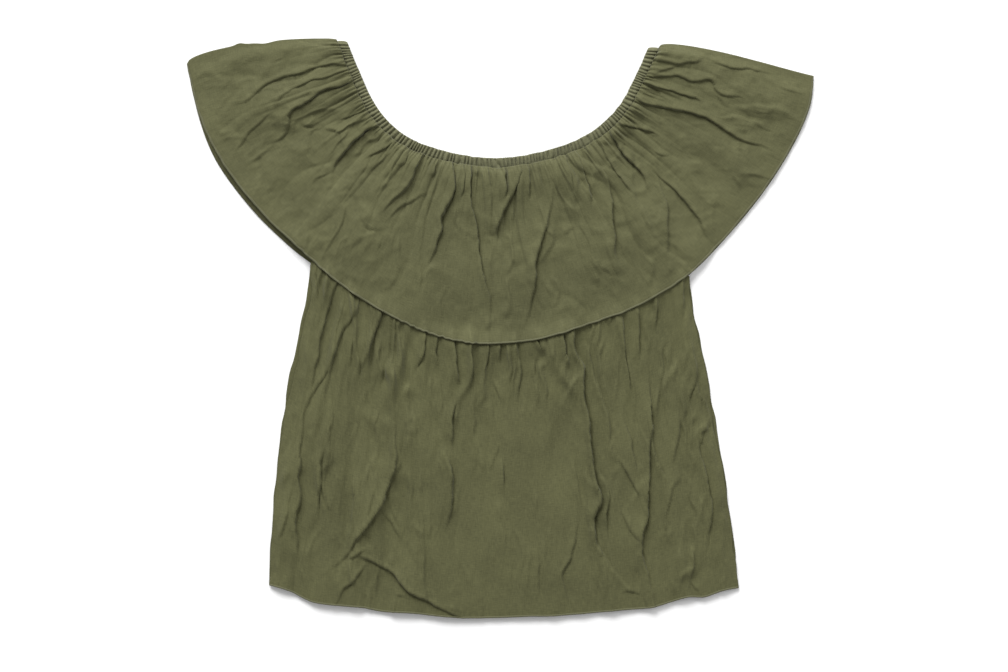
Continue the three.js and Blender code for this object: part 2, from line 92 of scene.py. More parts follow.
# Puffs under the casing, from the broadest to the finest. Each row: their number along the seam, height
# in mm, reach as a share of the flounce, wander, seed, and the height's factor at shoulders and front.
FLOUNCE_PUFFS = [
    (15, 2.4, 1.0, 0.5, 65, 1.0, 1.0),
    (34, 2.4, 0.38, 0.4, 66, 0.8, 1.4),
    (62, 2.6, 0.15, 0.3, 67, 0.5, 1.5),
    (118, 2.0, 0.07, 0.0, 68, 0.5, 1.6),
]


def smooth(low, high, value):
    """Smooth step: 0 below low, 1 above high, and 3t^2 - 2t^3 between them."""
    t = np.clip((value - low) / (high - low), 0.0, 1.0)
    return t * t * (3.0 - 2.0 * t)


def mix(a, b, share):
    return a + (b - a) * share


def unit(vectors):
    return vectors / np.linalg.norm(vectors, axis=-1)[..., None]


def running(steps):
    """Sum of the steps so far, from 0."""
    return np.concatenate([[0.0], np.cumsum(steps)])


def line_through(rows, spacing=1.0):
    """Centripetal Catmull-Rom curve through the rows, resampled at even spacing along its length."""
    per_span = 24
    p = np.array(rows, float)
    p = np.vstack([2 * p[0] - p[1], p, 2 * p[-1] - p[-2]])
    t = running(np.sqrt(np.linalg.norm(np.diff(p, axis=0), axis=1)))
    parts = []
    for i in range(1, len(p) - 2):
        s = np.linspace(t[i], t[i + 1], per_span, endpoint=False)[:, None]
        a1 = mix(p[i - 1], p[i], (s - t[i - 1]) / (t[i] - t[i - 1]))
        a2 = mix(p[i], p[i + 1], (s - t[i]) / (t[i + 1] - t[i]))
        a3 = mix(p[i + 1], p[i + 2], (s - t[i + 1]) / (t[i + 2] - t[i + 1]))
        b1 = mix(a1, a2, (s - t[i - 1]) / (t[i + 1] - t[i - 1]))
        b2 = mix(a2, a3, (s - t[i]) / (t[i + 2] - t[i]))
        parts.append(mix(b1, b2, (s - t[i]) / (t[i + 1] - t[i])))
    fine = np.vstack(parts + [p[-2:-1]])
    run = running(np.linalg.norm(np.diff(fine, axis=0), axis=1))
    count = max(8, int(run[-1] / spacing) + 1)
    even = np.linspace(0.0, run[-1], count)
    return np.stack([np.interp(even, run, fine[:, 0]), np.interp(even, run, fine[:, 1])], axis=1)


def at_share(line, share):
    """Point of an evenly sampled line at a share of its length."""
    even = np.linspace(0.0, 1.0, len(line))
    return np.stack([np.interp(share, even, line[:, 0]), np.interp(share, even, line[:, 1])], axis=-1)


def away(line, share):
    """Unit direction square to a left-to-right line, pointing away from the neck opening."""
    t = at_share(unit(np.gradient(line, axis=0)), share)
    return np.stack([t[..., 1], -t[..., 0]], axis=-1)


def across_share(line, share):
    """Point of a line at a share of its width in X."""
    x = mix(line[0, 0], line[-1, 0], share)
    return np.stack([x, np.interp(x, line[:, 0], line[:, 1])], axis=-1)


neck_line = line_through(NECK)
flounce_hem_line = line_through(FLOUNCE_HEM)
body_hem_line = line_through(BODY_HEM)
underarm_shares = np.linspace(UNDERARM_LEFT, UNDERARM_RIGHT, 200)
underarm_line = (at_share(flounce_hem_line, underarm_shares)
                 + UNDERARM_BELOW * away(flounce_hem_line, underarm_shares))


def swell(height, rise, fall, down):
    """Swell of an edge: down^rise * (1 - down)^fall, scaled so that its largest value is height."""
    peak = rise / (rise + fall)
    shape = np.power(down, rise) * np.power(1.0 - down, fall)
    return height * shape / (peak ** rise * (1.0 - peak) ** fall)


def tip_share(u):
    """-1 at the left shoulder tip and 1 at the right one, fading to 0 over a share of the neck."""
    return (1 - smooth(0, TIP_FADE, 1 - u)) - (1 - smooth(0, TIP_FADE, u))


def neck_direction(share):
    """Unit direction of the neck line, left to right."""
    return unit(at_share(np.gradient(neck_line, axis=0), share))


def flounce_plan(u, v, reach=0.0, tuck=0.0):
    """Plan of the flounce: straight rays from the casing seam, tuck mm inside the casing, to reach mm
    past the hem line, swollen at the shoulders."""
    out = CASING_WIDTH + SEAM_GAP - np.asarray(tuck)[..., None]
    seam = at_share(neck_line, u) + out * away(neck_line, u)
    seam = seam + TIP_LIFT * tip_share(u)[..., None] * neck_direction(u)
    hem = at_share(flounce_hem_line, u) + np.asarray(reach)[..., None] * away(flounce_hem_line, u)
    plan = mix(seam, hem, v[..., None])
    bumps = sum(height * np.exp(-((v - place) / width) ** 2) for height, place, width in LEFT_BUMPS)
    plan[..., 1] += (1 - smooth(0, END_FADE, u)) * (swell(*LEFT_END, v) + bumps)
    plan[..., 1] += (1 - smooth(0, END_FADE, 1 - u)) * swell(*RIGHT_END, v)
    return plan


def body_plan(u, v, roll_left=0.0, roll_right=0.0):
    """Plan of a bodice panel: the yoke between its armholes down to 1, then the skirt down to 2, its
    two sides drawn in by roll_left and roll_right in mm."""
    down = np.clip(v, 0.0, 1.0)
    fall = np.clip(v - 1.0, 0.0, 1.0)
    share = mix(BODY_START, BODY_END, u)
    seam = at_share(neck_line, share) + (CASING_WIDTH + SEAM_GAP) * away(neck_line, share)
    plan = mix(seam, across_share(underarm_line, u), down[..., None])
    plan = mix(plan, across_share(body_hem_line, u), fall[..., None])
    armhole = ARMHOLE_BOW * 4 * down * (1 - down)
    bow = 4 * fall * (1 - fall)
    left, right = 1 - smooth(0, ARMHOLE_FADE, u), 1 - smooth(0, ARMHOLE_FADE, 1 - u)
    below = v - WAIST_AT
    waist = np.where(below < 0, np.exp(-(below / WAIST_ABOVE) ** 2),
                     np.exp(-(np.abs(below) / WAIST_BELOW) ** 1.5))
    plan[..., 0] += (armhole - SIDE_BOW_LEFT * bow + WAIST_IN_LEFT * waist + roll_left) * left
    plan[..., 0] -= (armhole - SIDE_BOW_RIGHT * bow + WAIST_IN_RIGHT * waist + roll_right) * right
    return plan


# Shape of a fold, for fold_field(): the factor of all heights, the crease's width in mm and as a share
# of the fold's, the jog of its path in mm, the depth of its dip, the place and height of the crest
# beside it, and how far the crest is pushed over the crease, as a share of at most PUSH_TOP mm
FOLD_RISE, CREASE_WIDTH, CREASE_SHARE, CREASE_JOG = 1.1, 0.6, 0.08, 1.6
CREASE_DIP, CREST_AT, CREST_RISE, PUSH, PUSH_TOP = 0.5, 1.3, 0.6, 0.6, 4.2

# Folds, listed one by one. Each row: the fold's height and width in mm, how much of the height is left at
# its start and its end, and the points of its path in mm. FOLDS have a crisp dark crease on the side
# away from the light; SWELLS are soft ridges, or hollows where the height is negative.
FLOUNCE_FOLDS = [
    (0.8, 9, 0, 0, (-276, 318), (-256, 324)),
    (2.8, 12, 0.6, 0, (-187, 314), (-208, 314), (-240, 304), (-274, 296), (-304, 271), (-330, 265)),
    (2.1, 9, 0.7, 0.2, (-186, 307), (-210, 300), (-244, 286), (-266, 271), (-269, 258)),
    (1.5, 11, 0.2, 0.1, (-269, 258), (-284, 248), (-306, 226), (-320, 199)),
    (5, 16, 0.8, 0, (-178, 293), (-208, 284), (-232, 271), (-252, 258), (-253, 246), (-260, 229),
     (-284, 218)),
    (1.2, 7, 0, 0, (-244, 252), (-248, 229)),
    (1.6, 10, 0, 0.2, (-244, 252), (-232, 241), (-212, 236)),
    (2, 10, 0.3, 0.6, (-206, 238), (-191, 234), (-180, 241), (-168, 246)),
    (1.8, 8, 0, 0.8, (-196, 247), (-172, 256), (-154, 265)),
    (4.6, 14, 0.9, 0, (-144, 240), (-158, 238), (-178, 220), (-188, 208), (-198, 190), (-194, 174)),
    (1.2, 9, 0.2, 0, (-198, 188), (-226, 176)),
    (2.5, 9, 0.9, 0, (-124, 223), (-148, 208), (-164, 199)),
    (1.6, 8, 0.4, 0, (-134, 205), (-156, 186)),
    (1.6, 8, 0.8, 0, (-104, 217), (-118, 193), (-130, 199)),
    (3, 12, 0.9, 0, (-94, 204), (-98, 198), (-107, 175), (-126, 154), (-144, 132)),
    (1.8, 10, 0.2, 0, (-84, 160), (-108, 151), (-132, 130), (-138, 124)),
    (1.3, 10, 0, 0, (-174, 144), (-166, 132), (-158, 120), (-132, 115)),
    (0.8, 7, 0, 0, (-202, 124), (-196, 118), (-198, 109)),
    (0.8, 7, 0, 0, (-140, 109), (-144, 90)),
    (0.7, 10, 0, 0, (-322, 318), (-324, 295), (-336, 280)),
    (0.7, 9, 0, 0, (-358, 284), (-330, 288)),
    (5, 13, 0.9, 0, (-55, 192), (-55, 168), (-70, 130), (-72, 112), (-80, 88), (-90, 67)),
    (1.4, 9, 0, 0, (-95, 79), (-94, 42)),
    (3.4, 8, 0.9, 0, (-42, 190), (-47, 151)),
    (2.4, 8, 0.9, 0, (-95, 202), (-103, 186)),
    (2, 6, 0.9, 0, (-77, 190), (-79, 181)),
    (2, 6, 0.9, 0, (-25, 190), (-28, 182)),
    (2, 6, 0.9, 0, (-13, 188), (-14.5, 180)),
    (4, 11, 0.8, 0.2, (-34, 184), (-36, 163), (-28, 114), (-25, 85), (-18, 54), (-13, 40), (-12, -2)),
    (3.4, 8, 0.9, 0, (7, 187), (7, 150)),
    (4.6, 12, 0.9, 0, (25, 187), (12, 156), (4, 139), (-4, 109), (-2, 88)),
    (1.5, 8, 0, 0, (17, 151), (17, 126)),
    (2.6, 8, 0.9, 0, (35, 187), (36, 145)),
    (4.6, 13, 0.2, 0.1, (64, 157), (56, 126), (50, 106), (44, 85), (42, 55), (36, 25), (28, -5)),
    (3, 9, 0.9, 0, (80, 204), (89, 156)),
    (3.2, 10, 0.9, 0, (94, 204), (108, 162), (112, 138)),
    (2.2, 9, 0.8, 0, (120, 226), (132, 196), (168, 150)),
    (4.6, 13, 0.3, 0, (122, 190), (130, 174), (133, 145), (136, 114), (140, 84), (146, 66)),
    (0.9, 7, 0, 0, (116, 67), (118, 54)),
    (0.9, 10, 0, 0, (-68, 48), (-70, 6)),
    (0.9, 8, 0, 0, (52, 55), (62, 37)),
    (0.9, 8, 0, 0.2, (4, 10), (12, -8)),
    (2.4, 9, 0.7, 0.2, (192, 318), (208, 316), (232, 318), (248, 326)),
    (2.2, 11, 0.3, 0, (248, 322), (268, 314), (292, 311), (316, 305), (336, 304)),
    (1.9, 7, 0.7, 0, (188, 304), (204, 310), (216, 316)),
    (3, 11, 0.8, 0, (188, 300), (216, 300), (234, 295), (252, 296), (262, 280), (288, 274), (300, 259)),
    (3.4, 11, 0.9, 0, (188, 288), (208, 284), (226, 278), (236, 274), (244, 262)),
    (1.3, 8, 0, 0, (256, 282), (272, 262)),
    (4.3, 15, 0.7, 0, (172, 270), (192, 265), (216, 260), (240, 254), (254, 250), (282, 229), (296, 222),
     (320, 216), (336, 204)),
    (2.6, 9, 0.9, 0, (148, 241), (176, 235), (192, 228)),
    (3.7, 12, 0.9, 0, (130, 238), (140, 220), (154, 202), (168, 186), (180, 156)),
    (1.4, 9, 0, 0, (182, 210), (212, 205)),
    (4, 12, 0.3, 0, (190, 184), (194, 166), (199, 145), (200, 118), (200, 73)),
    (3.7, 13, 0.3, 0.1, (188, 184), (208, 166), (224, 150), (236, 132), (244, 112), (256, 100)),
    (0.9, 7, 0, 0, (170, 145), (176, 126)),
    (0.9, 10, 0, 0, (274, 190), (292, 160)),
    (0.9, 9, 0, 0, (288, 217), (300, 193)),
    (0.9, 9, 0, 0.2, (332, 288), (360, 281)),
    (0.9, 10, 0, 0, (302, 246), (332, 232)),
    (0.9, 9, 0, 0, (302, 256), (328, 256)),
]
FLOUNCE_SWELLS = [
    (1.6, 6, 0.2, 0, (-205, 178), (-206, 138)),
    (-1.6, 9, 0, 0, (-8, 130), (-12, 106), (-18, 85)),
    (2, 5, 0.8, 0, (44, 192), (50, 156)),
    (-2.2, 7, 0.5, 0, (77, 178), (77, 114), (70, 91)),
    (-1.6, 8, 0, 0, (89, 142), (89, 106)),
    (-1, 8, 0, 0, (64, 82), (84, 60), (114, 43)),
    (-2, 10, 0.3, 0, (192, 229), (208, 214), (234, 190)),
    (-1.6, 11, 0, 0, (236, 198), (256, 160)),
    (-1, 10, 0, 0, (146, 76), (192, 94)),
    (-1.4, 8, 0.2, 0, (-208, 178), (-218, 154)),
    (2.4, 14, 0.3, 0.1, (-230, 290), (-290, 262), (-330, 235)),
    (2.2, 20, 0, 0.3, (-220, 225), (-260, 190), (-290, 160)),
    (2, 18, 0.2, 0.4, (-120, 170), (-165, 105), (-185, 62)),
    (1.6, 16, 0, 0.5, (-60, 120), (-90, 30)),
    (1.8, 14, 0.2, 0.3, (20, 110), (14, 40), (8, -10)),
    (1.8, 15, 0.2, 0.4, (100, 100), (96, 40), (88, 8)),
    (2, 13, 0.2, 0.4, (172, 160), (178, 90), (186, 50)),
    (2, 16, 0.3, 0.4, (250, 230), (290, 190), (318, 176)),
    (2, 18, 0.2, 0.4, (260, 300), (330, 268), (358, 250)),
]
BODY_FOLDS = [
    (3, 8, 0.9, 0, (-220, 70), (-218, 31)),
    (2.6, 10, 0.9, 0, (-196, 52), (-212, 1), (-224, -71), (-228, -98)),
    (2.4, 9, 0.9, 0, (-168, 31), (-170, 12)),
    (3.6, 9, 0.9, 0, (-142, 19), (-148, -2), (-157, -30), (-157, -54)),
    (2, 7, 0.3, 0, (-176, -5), (-178, -54)),
    (2.2, 10, 0.8, 0, (-188, 20), (-198, -18), (-206, -48), (-234, -102), (-236, -134)),
    (4.2, 10, 0.9, 0, (-54, -14), (-54, -26), (-47, -74)),
    (4, 9, 0.2, 0, (-50, -84), (-56, -104), (-58, -140)),
    (4.2, 9, 0.9, 0, (-34, -12), (-34, -62), (-37, -80)),
    (1.4, 8, 0, 0, (-72, -54), (-66, -108)),
    (3.8, 9, 0.9, 0, (0, -16), (0, -23), (2, -42)),
    (3.4, 8, 0.9, 0, (-14, -18), (-16, -34), (-20, -58)),
    (3.2, 8, 0.9, 0, (-74, -8), (-76, -30), (-70, -52)),
    (1.4, 8, 0, 0, (-10, -59), (2, -90)),
    (1.5, 7, 0, 0, (-144, -98), (-150, -116)),
    (0.9, 7, 0, 0, (-120, -126), (-92, -125)),
    (4, 12, 0.3, 0.2, (-235, -110), (-239, -152), (-241, -173), (-240, -206), (-244, -227), (-242, -263),
     (-235, -293)),
    (1.6, 7, 0, 0.2, (-244, -176), (-252, -209), (-262, -246), (-269, -276)),
    (1.2, 7, 0, 0, (-222, -122), (-226, -138)),
    (3, 10, 0.2, 0, (-210, -122), (-214, -162), (-214, -182), (-218, -209), (-214, -254)),
    (4.2, 13, 0.2, 0.1, (-124, -120), (-124, -152), (-128, -176), (-134, -194), (-142, -212), (-152, -230),
     (-166, -246), (-176, -260), (-186, -275), (-206, -293)),
    (1.6, 9, 0, 0, (-188, -278), (-172, -272), (-158, -263)),
    (2.6, 8, 0, 0.5, (-158, -278), (-176, -302), (-188, -314), (-194, -329)),
    (2.2, 8, 0.2, 0, (-145, -214), (-127, -236), (-116, -263)),
    (2.6, 8, 0.7, 0, (-175, 15), (-188, -4), (-201, -39), (-206, -79)),
    (3.2, 7, 0.2, 0, (245, -61), (239, -74), (252, -101), (252, -116), (239, -127), (232, -149)),
    (2.6, 8, 0.2, 0, (182, -79), (180, -105), (188, -158), (197, -175), (201, -215)),
    (2.4, 7, 0.1, 0.3, (230, -254), (232, -289), (228, -311)),
    (2.4, 9, 0.1, 0.1, (112, -158), (131, -193), (127, -228), (136, -285)),
    (2.4, 8, 0.1, 0.1, (136, -149), (162, -193), (171, -219)),
    (3, 9, 0.8, 0, (20, -22), (24, -60), (18, -96)),
    (3.6, 9, 0.8, 0, (-88, 0), (-92, -30), (-104, -58)),
    (2.4, 8, 0.2, 0, (-66, -131), (-59, -166), (-61, -245)),
    (3.6, 15, 0.6, 0.6, (-156, -280), (-145, -285), (-128, -293), (-110, -314), (-84, -330), (-58, -343)),
    (1.2, 9, 0, 0, (-132, -212), (-116, -248)),
    (1, 7, 0, 0, (-136, -270), (-130, -287)),
    (2.2, 12, 0.2, 0, (-68, -134), (-56, -186), (-58, -212), (-65, -258)),
    (1.4, 7, 0, 0, (-58, -118), (-58, -140)),
    (3, 9, 0, 0, (4, -150), (4, -180), (7, -203)),
    (1.2, 9, 0, 0, (2, -230), (10, -272)),
    (1.2, 6, 0, 0.5, (-72, -332), (-48, -341)),
    (1, 6, 0, 0, (-128, -318), (-108, -324)),
    (3.8, 9, 0.9, 0, (46, -4), (46, -18), (54, -38)),
    (4.6, 9, 0.9, 0, (74, -2), (76, -18), (86, -50)),
    (1.6, 7, 0, 0, (42, -38), (42, -59)),
    (1.6, 9, 0, 0, (56, -48), (56, -98)),
    (6.8, 16, 0.9, 0.1, (90, -8), (90, -29), (100, -47), (100, -68), (102, -89), (106, -104), (107, -134),
     (109, -152), (116, -186), (121, -203), (113, -228), (112, -242), (118, -263), (128, -278), (150, -306)),
    (2.2, 11, 0.6, 0, (106, -20), (112, -54), (128, -98), (138, -149), (158, -176)),
    (2.6, 9, 0.9, 0, (132, 22), (134, 4)),
    (3.8, 10, 0.7, 0, (148, 6), (150, -36), (160, -84), (164, -96)),
    (3.2, 8, 0.8, 0, (165, 20), (166, -8), (167, -42)),
    (5.2, 13, 0.3, 0.4, (181, -72), (180, -122), (179, -173), (176, -227), (169, -260), (180, -302),
     (186, -329)),
    (2.6, 8, 0.8, 0, (188, 36), (188, 10), (188, -5)),
    (2.2, 8, 0.8, 0, (220, 62), (218, 6)),
    (2.4, 9, 0.2, 0, (226, -6), (236, -59), (228, -84), (232, -104), (230, -128)),
    (1.8, 9, 0, 0, (216, -86), (214, -134), (210, -149), (212, -186)),
    (2.4, 10, 0, 0, (146, -98), (154, -122), (160, -149), (172, -192)),
    (1.6, 10, 0, 0, (84, -143), (98, -206), (103, -221)),
    (2, 13, 0, 0.5, (96, -222), (84, -278), (76, -296), (86, -341)),
    (1.6, 12, 0, 0.4, (48, -258), (47, -302), (53, -338)),
    (1.6, 9, 0, 0, (140, -210), (152, -234), (169, -263)),
    (1.2, 7, 0, 0, (230, -185), (224, -210)),
    (3.6, 9, 0.6, 0.1, (243, -128), (239, -144), (246, -173), (252, -203), (253, -233), (246, -278)),
    (2.2, 6, 0.2, 0, (256, -100), (256, -134), (260, -173)),
    (1.4, 6, 0, 0, (269, -218), (278, -246)),
    (1.5, 7, 0, 0, (142, -320), (154, -317), (172, -318)),
    (1.4, 8, 0, 0.3, (226, -302), (238, -318)),
    (1, 7, 0, 0, (193, -162), (196, -180)),
]
BODY_SWELLS = [
    (2.2, 4, 0.8, 0.2, (-226, 66), (-232, 20), (-246, -47), (-250, -80)),
    (2.6, 4, 0.8, 0.2, (-188, 20), (-198, -18), (-206, -48), (-214, -84), (-224, -134)),
    (2.8, 5, 0.8, 0, (-110, 1), (-121, -47), (-140, -100)),
    (-2.4, 5, 0.9, 0.2, (-124, -2), (-128, -30), (-136, -47), (-152, -98)),
    (1.6, 3.5, 0, 0, (-156, -62), (-167, -98)),
    (3, 4, 0.9, 0.3, (-34, -16), (-38, -66), (-48, -83), (-54, -107)),
    (2.2, 4, 0.9, 0, (-12, -18), (-12, -26), (-10, -59)),
    (1.2, 3.5, 0, 0, (-2, -203), (0, -234)),
    (-1.2, 6, 0, 0.3, (-258, -263), (-254, -311)),
    (3, 6, 0.8, 0, (48, -14), (78, -62), (98, -90)),
    (-3, 5, 0.9, 0, (96, -2), (98, -22)),
    (2.8, 4, 0.9, 0, (140, 14), (154, -48), (160, -89), (156, -119)),
    (2, 3.5, 0.9, 0, (188, 40), (188, 10)),
    (2, 3.5, 0.9, 0, (226, 61), (236, 1), (238, -42), (236, -66)),
    (2, 5, 0.2, 0, (122, -167), (132, -203), (138, -287)),
    (-2.4, 4, 0.9, 0, (180, 31), (182, 12)),
    (2.6, 24, 0.2, 0.6, (-90, -30), (-84, -160), (-92, -300), (-90, -330)),
    (2.4, 20, 0.2, 0.6, (-170, -110), (-184, -220), (-216, -320)),
    (2, 26, 0.2, 0.6, (20, -60), (30, -200), (22, -330)),
    (1.8, 18, 0, 0.6, (80, -160), (66, -250), (64, -335)),
    (1.6, 18, 0, 0.4, (150, -200), (148, -280), (130, -330)),
    (2, 18, 0.2, 0.5, (206, -60), (200, -180), (214, -310)),
]


def fold_field(x, y, folds, crisp=True):
    """Height and sideways shift that a table of folds gives the points (x, y).

    With n the distance from the path on the lit side, c the crease's width, and
    crest = exp(-(n/(CREST_AT c) - 1)^2), a crisp fold is (1 - exp(-(n/c)^2)) * exp(-n/width) for
    n > 0, less CREASE_DIP * exp(-(n/c)^2), plus CREST_RISE * crest, and its points move towards the
    crease by PUSH * height * crest. A swell is exp(-(n/width)^2). Both fade out past their ends."""
    rise = np.zeros_like(x)
    shift = np.zeros(x.shape + (2,))
    if crisp:
        x = x + CREASE_JOG * (crumple(x, y, 15, 15, 21) + 0.5 * crumple(x, y, 6, 6, 22))
        y = y + CREASE_JOG * (crumple(x, y, 15, 15, 23) + 0.5 * crumple(x, y, 6, 6, 24))
    for height, width, start, end, *path in folds:
        spine = line_through(path, 3.0)
        along = unit(np.gradient(spine, axis=0))
        chord = spine[-1] - spine[0]
        side = 1.0 if -chord[1] * LIT_FROM[0] + chord[0] * LIT_FROM[1] > 0 else -1.0
        square = side * np.stack([-along[:, 1], along[:, 0]], axis=1)
        reach = 4.0 * width
        low, high = spine.min(axis=0) - reach, spine.max(axis=0) + reach
        near = np.nonzero((x > low[0]) & (x < high[0]) & (y > low[1]) & (y < high[1]))
        px, py = x[near], y[near]
        away_x, away_y = px[:, None] - spine[:, 0], py[:, None] - spine[:, 1]
        index = np.argmin(away_x ** 2 + away_y ** 2, axis=1)
        pick = np.arange(len(px))
        dx, dy = away_x[pick, index], away_y[pick, index]
        off = dx * square[index, 0] + dy * square[index, 1]
        ahead = dx * along[index, 0] + dy * along[index, 1]
        step = np.linalg.norm(spine[1] - spine[0])
        last = len(spine) - 1
        t = np.clip((index + np.clip(ahead / step, -0.5, 0.5)) / last, 0.0, 1.0)
        past = np.maximum(np.where(index == 0, -ahead, np.where(index == last, ahead, 0)), 0)
        at_start, at_end = mix(start, 1.0, smooth(0, 0.4, t)), mix(end, 1.0, smooth(0, 0.45, 1 - t))
        strength = FOLD_RISE * height * at_start * at_end * np.exp(-(past / (0.8 * width)) ** 2)
        if crisp:
            crease = CREASE_SHARE * width + CREASE_WIDTH
            edge = np.exp(-(off / crease) ** 2)
            crest = np.exp(-((off - CREST_AT * crease) / (CREST_AT * crease)) ** 2)
            shape = np.where(off > 0, (1 - edge) * np.exp(-np.maximum(off, 0.0) / width), 0.0)
            shape = shape - CREASE_DIP * edge + CREST_RISE * crest
            shift[near] -= (PUSH * np.minimum(strength, PUSH_TOP) * crest)[:, None] * square[index]
        else:
            shape = np.exp(-(off / width) ** 2)
        rise[near] += strength * shape
    return rise, shift


def crumple(across, along, pitch_across, pitch_along, seed):
    """Smooth random field between -1 and 1 on a lattice of the two pitches, in mm."""
    count = 256
    lattice = np.random.default_rng(seed).uniform(-1, 1, (count, count))
    a, b = across / pitch_across, along / pitch_along
    i, j = np.floor(a).astype(int), np.floor(b).astype(int)
    s, t = smooth(0, 1, a - i), smooth(0, 1, b - j)
    rows = [mix(lattice[i % count, k % count], lattice[(i + 1) % count, k % count], s) for k in (j, j + 1)]
    return mix(rows[0], rows[1], t)


def crinkle(across, along, pitch, seed):
    """Fine lengthwise crinkles: two layers of ridged noise, 8 times as long as they are wide."""
    bend = 0.8 * pitch * crumple(across, along, 6 * pitch, 6 * pitch, seed)
    wide = 1 - 2 * np.abs(crumple(across + bend, along, pitch, 8 * pitch, seed + 1))
    fine = 1 - 2 * np.abs(crumple(across + bend, along, 0.5 * pitch, 4.5 * pitch, seed + 2))
    return 0.65 * wide + 0.35 * fine


def rumple(x, y, seed):
    """Rumpled cloth in mm: ridged noise at three sizes, each bent by a softer one so that no crease
    runs straight, and each half as high as the one before."""
    bends = [9 * crumple(x, y, 38, 38, seed + k) + 4 * crumple(x, y, 14, 14, seed + k + 1) for k in (0, 2)]
    a, b = x + bends[0], y + bends[1]
    total = 0.0
    for k, pitch in enumerate((21.0, 11.5, 6.0)):
        turn = 0.5 + 1.3 * k
        c, d = a * math.cos(turn) + b * math.sin(turn), b * math.cos(turn) - a * math.sin(turn)
        ridge = 1 - 2.4 * np.abs(crumple(c, d, pitch, 1.25 * pitch, seed + 4 + k))
        total = total + ridge * 0.5 ** k
    return total


def stray_folds(x, y, pitch_x, pitch_y, seed):
    """Thin folds along the zero lines of a bent random field, from 0 to 1, which come and go.

    With d the rough distance from a zero line in mm, a fold is (1 - exp(-(d/1.5)^2)) * exp(-d/11) on
    its positive side, with a low crest 2.2 mm from the line. Where the field hardly changes from left
    to right, its zero line would run across the other folds, so there is no fold there."""
    bend = 7 * crumple(x, y, 30, 45, seed + 1) + 2.5 * crumple(x, y, 11, 16, seed + 2)
    step = 3
    after, here, before = [crumple(x + bend + k, y, pitch_x, pitch_y, seed) for k in (step, 0, -step)]
    far = 0.8 * pitch_x * here
    slope = (after - before) * pitch_x / (2 * step)
    part = np.clip(0.5 + 1.3 * crumple(x, y, 1.2 * pitch_x, 0.6 * pitch_y, seed + 3), 0, 1)
    part = part * smooth(0.1, 0.5, np.abs(slope))
    fold = (1 - np.exp(-(far / 1.5) ** 2)) * np.exp(-np.maximum(far, 0) / 11)
    return part * (np.where(far > 0, fold, 0.0) + 0.35 * np.exp(-((far - 2.2) / 1.5) ** 2))


def gathers(u, v, count, rise, reach, seed, wander=0.0):
    """Puffs between the pinches of a gathered seam, in mm.

    The seam is pinched at count uneven places. Between two pinches, with t from 0 to 1, the cloth
    arches up by (4t(1 - t))^0.5, and sinks with the distance v from the seam by exp(-(v/reach)^1.4);
    each puff has its own height, reach and lean."""
    rng = np.random.default_rng(seed)
    pinch = running(rng.uniform(0.35, 1.65, count))
    pinch /= pinch[-1]
    height, far = rise * rng.uniform(0.45, 1.5, count), reach * rng.uniform(0.4, 1.7, count)
    lean = rng.uniform(0.7, 1.45, count)
    at = np.clip(u + wander / count * crumple(u * 3 * count, v * 4, 2.2, 1.3, seed), 0, 1)
    k = np.clip(np.searchsorted(pinch, at) - 1, 0, count - 1)
    t = np.clip((at - pinch[k]) / (pinch[k + 1] - pinch[k]), 0, 1) ** lean[k]
    return height[k] * (4 * t * (1 - t)) ** 0.5 * np.exp(-(v / far[k]) ** 1.4)


class LaidCloth:
    """Height map of what already lies on the surface, so that the next layer lies on it."""

    CELL = (3.0, 6.0)
    ORIGIN = (-400.0, -370.0)
    SIZE = (268, 124)

    def __init__(self):
        self.top = np.zeros(self.SIZE)

    def lay(self, points):
        """Raises the map to the highest point in each cell, then lets each cell cover its neighbours."""
        cells = [((points[..., k] - self.ORIGIN[k]) / self.CELL[k]).astype(int).ravel() for k in (0, 1)]
        np.maximum.at(self.top, tuple(cells), points[..., 2].ravel())
        grown = self.top.copy()
        for step in ((1, 0), (-1, 0), (0, 1), (0, -1)):
            grown = np.maximum(grown, np.roll(self.top, step, (0, 1)))
        self.top = grown

    def lift(self, height, plan):
        """The height raised to clear what lies under the plan, by a smooth maximum: with gap their
        difference, half of their sum plus (gap^2 + 0.6)^0.5."""
        a, b = [(plan[..., k] - self.ORIGIN[k]) / self.CELL[k] - 0.5 for k in (0, 1)]
        i, j = np.floor(a).astype(int), np.floor(b).astype(int)
        s, t = a - i, b - j
        low = mix(self.top[i, j], self.top[i + 1, j], s)
        high = mix(self.top[i, j + 1], self.top[i + 1, j + 1], s)
        floor = mix(low, high, t) + CLOTH + CLEAR
        gap = height - floor
        return 0.5 * (height + floor + np.sqrt(gap * gap + 0.6))


laid = LaidCloth()


def new_object(name, data, place=(0, 0, 0)):
    """Object with this data at a place in metres, linked to the scene."""
    item = bpy.data.objects.new(name, data)
    item.location = place
    bpy.context.scene.collection.objects.link(item)
    return item


def new_mesh(name, points, faces, uv, caps=()):
    """Mesh object from points in mm, quads, a UV for each point in metres, and end caps if it has any."""
    placed = points.reshape(-1, 3).copy()
    placed[:, 1] += CENTRE_Y
    mesh = bpy.data.meshes.new(name)
    mesh.from_pydata((placed * MM).tolist(), [], faces.tolist() + list(caps))
    layer = mesh.uv_layers.new(name="cloth")
    corner = np.empty(len(mesh.loops), dtype=np.int32)
    mesh.loops.foreach_get("vertex_index", corner)
    layer.data.foreach_set("uv", uv[corner].ravel())
    mesh.polygons.foreach_set("use_smooth", np.ones(len(mesh.polygons), dtype=bool))
    mesh.update()
    return new_object(name, mesh)


def grid_quads(rows, columns, closed_rows=False, closed_columns=False):
    """Quads over a grid of points; in a way that is closed, the last point joins the first."""
    i, j = np.meshgrid(np.arange(rows - 1 + closed_rows), np.arange(columns - 1 + closed_columns),
                       indexing="ij")
    i2, j2 = (i + 1) % rows, (j + 1) % columns
    corners = [i * columns + j, i2 * columns + j, i2 * columns + j2, i * columns + j2]
    return np.stack(corners, axis=-1).reshape(-1, 4)


